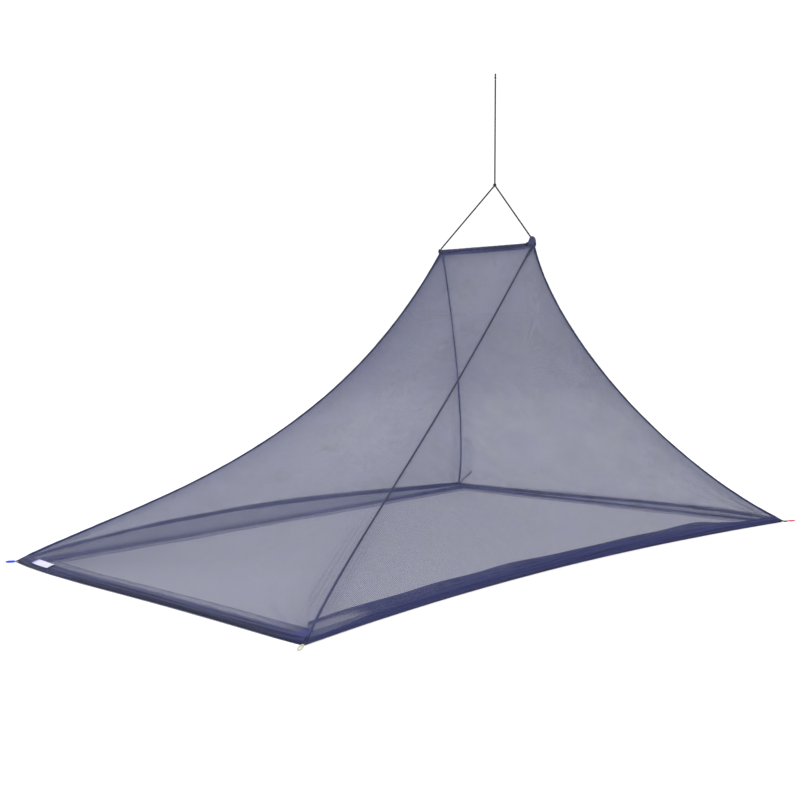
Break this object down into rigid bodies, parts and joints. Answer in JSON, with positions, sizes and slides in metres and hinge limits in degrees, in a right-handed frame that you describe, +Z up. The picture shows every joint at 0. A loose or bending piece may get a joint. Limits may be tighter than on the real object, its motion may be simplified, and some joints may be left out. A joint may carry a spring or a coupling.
{
  "type": "mosquito net canopy with spreader rod",
  "caption": "Wedge-shaped mosquito net of fine dark blue mesh, hung by a cord bridle from the rod in its ridge sleeve, with ground skirts and corner cord loops for stakes.",
  "frame": {"origin": "on the ground under the middle of the net's pegged outline, measured without the hanging cord and the stake cords", "axes": "+Z up, along the hanging cord; +X along the long sides towards the steep head end; +Y across to the far long side"},
  "size_m": [2.8802, 1.8537, 1.6658],
  "materials": {
    "net_mesh": "sheer fine knitted mesh",
    "skirt_mesh": "sheer fine knitted mesh, gathered",
    "seam_tape": "matt woven tape",
    "sleeve_cloth": "soft sheen, crinkled",
    "rod_composite": "satin",
    "grey_cord": "braided",
    "blue_cord": "braided",
    "cream_cord": "braided",
    "red_cord": "braided",
    "dark_cord": "braided",
    "tag_cloth": "smooth woven"
  },
  "bodies": {
    "root": {"net_panel_foot": "net_mesh", "net_panel_near": "net_mesh", "net_panel_head": "net_mesh", "net_panel_far": "net_mesh", "ground_skirt_foot": "skirt_mesh", "ground_skirt_near": "skirt_mesh", "ground_skirt_head": "skirt_mesh", "ground_skirt_far": "skirt_mesh", "seam_binding_foot_far": "seam_tape", "seam_binding_foot_near": "seam_tape", "seam_binding_head_near": "seam_tape", "seam_binding_head_far": "seam_tape", "ridge_sleeve": "sleeve_cloth", "spreader_rod": "rod_composite", "sleeve_lashing_far": "grey_cord", "sleeve_lashing_near": "grey_cord", "bridle_leg_far": "grey_cord", "bridle_leg_near": "grey_cord", "bridle_knot": "grey_cord", "hang_cord": "grey_cord", "hang_knot": "grey_cord", "hang_loop": "grey_cord", "stake_loop_foot_far": "blue_cord", "stake_loop_foot_near": "cream_cord", "stake_stub_head_near": "dark_cord", "stake_loop_head_near": "red_cord", "stake_line_head_far": "dark_cord", "stake_line_knot": "dark_cord", "stake_line_loop": "dark_cord", "label_tag": "tag_cloth"}
  },
  "joints": []
}
